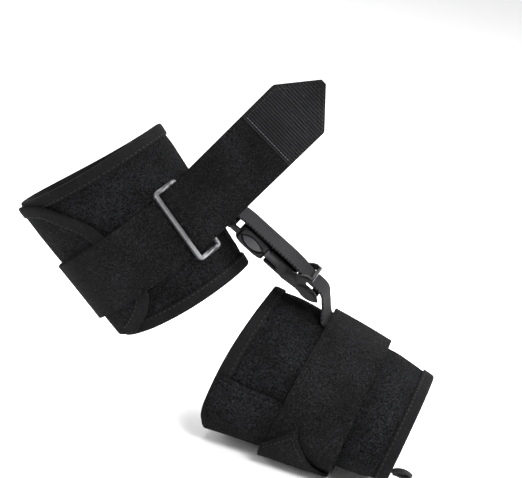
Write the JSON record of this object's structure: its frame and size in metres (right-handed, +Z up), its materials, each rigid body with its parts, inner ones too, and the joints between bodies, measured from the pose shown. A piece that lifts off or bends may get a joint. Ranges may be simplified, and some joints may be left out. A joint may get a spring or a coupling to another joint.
{
  "type": "ankle foot orthosis",
  "caption": "Soft strap-type drop-foot brace: padded leg cuff and foot wrap joined by adjustable webbing with a side-release buckle.",
  "frame": {"origin": "centre of the wearer's sole inside the foot wrap, on the inner face of its sole", "axes": "+X towards the toes, +Z up from the sole, -Y to the outer side of a right foot"},
  "size_m": [0.2663, 0.1003, 0.2277],
  "materials": {
    "padded_fabric": "matte dark fleece-faced padded fabric",
    "lining_fabric": "soft dark knitted lining",
    "binding_tape": "folded dark woven edge tape with a line of stitching",
    "elastic_webbing": "ribbed dark elastic webbing",
    "nylon_webbing": "dark ribbed woven webbing",
    "hook_tape": "dark hook-and-loop tape",
    "buckle_plastic": "glossy black moulded plastic",
    "ring_metal": "satin grey metal"
  },
  "bodies": {
    "foot_wrap": {"foot_wrap_panel": "padded_fabric", "foot_wrap_lining": "lining_fabric", "foot_rear_binding": "binding_tape", "foot_front_binding": "binding_tape", "foot_closure_flap": "padded_fabric", "foot_hook_patch": "hook_tape", "foot_elastic_band": "elastic_webbing", "toe_edge_loop": "binding_tape", "dorsal_stitch_patch": "nylon_webbing"},
    "foot_tab": {"foot_strap_tab": "elastic_webbing", "foot_strap_hook_patch": "hook_tape"},
    "webbing": {"adjusting_webbing": "nylon_webbing"},
    "plug": {"buckle_plug": "buckle_plastic"},
    "arm_left": {"squeeze_arm_left": "buckle_plastic"},
    "arm_right": {"squeeze_arm_right": "buckle_plastic"},
    "socket": {"buckle_socket": "buckle_plastic"},
    "leg_cuff": {"leg_cuff_panel": "padded_fabric", "leg_cuff_lining": "lining_fabric", "leg_top_binding": "binding_tape", "leg_bottom_binding": "binding_tape", "leg_closure_flap": "padded_fabric", "leg_flap_binding": "binding_tape", "leg_hook_patch": "hook_tape", "leg_elastic_band": "elastic_webbing", "ring_anchor_webbing": "nylon_webbing", "cuff_anchor_webbing": "nylon_webbing"},
    "ring": {"strap_ring": "ring_metal"},
    "pull_strap": {"pull_strap": "elastic_webbing"},
    "hook_tab": {"pull_strap_tip": "elastic_webbing", "pull_strap_hook_tab": "hook_tape"}
  },
  "joints": [
    {"name": "webbing_flex", "type": "hinge", "parent": "foot_wrap", "child": "webbing", "pos_m": [-0.0018, 0, 0.0755], "axis": [0, 1, 0], "range_deg": [-6, 8], "deforming": ["adjusting_webbing"]},
    {"name": "strap_adjust", "type": "slide", "parent": "webbing", "child": "plug", "axis": [0.8829, 0, -0.4695], "range_m": [-0.012, 0.006]},
    {"name": "arm_left_squeeze", "type": "hinge", "parent": "plug", "child": "arm_left", "pos_m": [-0.03652, 0.0095, 0.09978], "axis": [0.4695, 0, 0.8829], "range_deg": [0, 8], "stiffness_Nm_per_rad": 0.05},
    {"name": "arm_right_squeeze", "type": "hinge", "parent": "plug", "child": "arm_right", "pos_m": [-0.03652, -0.0095, 0.09978], "axis": [-0.4695, 0, -0.8829], "range_deg": [0, 8], "stiffness_Nm_per_rad": 0.05},
    {"name": "buckle_release", "type": "slide", "parent": "plug", "child": "socket", "axis": [-0.8829, 0, 0.4695], "range_m": [0, 0.045], "deforming": ["squeeze_arm_left", "squeeze_arm_right"]},
    {"name": "cuff_flex", "type": "hinge", "parent": "socket", "child": "leg_cuff", "pos_m": [-0.06964, 0, 0.11739], "axis": [0, 1, 0], "range_deg": [-6, 10]},
    {"name": "ring_lift", "type": "hinge", "parent": "leg_cuff", "child": "ring", "pos_m": [-0.08844, -0.02211, 0.12045], "axis": [-0.7519, 0, 0.6592], "range_deg": [0, 30]},
    {"name": "strap_fold", "type": "hinge", "parent": "ring", "child": "pull_strap", "pos_m": [-0.09508, -0.03455, 0.11288], "axis": [0.7519, 0, -0.6592], "range_deg": [-12, 118]},
    {"name": "tab_peel", "type": "hinge", "parent": "pull_strap", "child": "hook_tab", "pos_m": [-0.0569, -0.03306, 0.17397], "axis": [-0.848, 0.0028, 0.53], "range_deg": [-30, 80]},
    {"name": "foot_tab_peel", "type": "hinge", "parent": "foot_wrap", "child": "foot_tab", "pos_m": [-0.02023, -0.02121, -0.00872], "axis": [0.9994, -0.0344, -0.0017], "range_deg": [0, 60]}
  ]
}
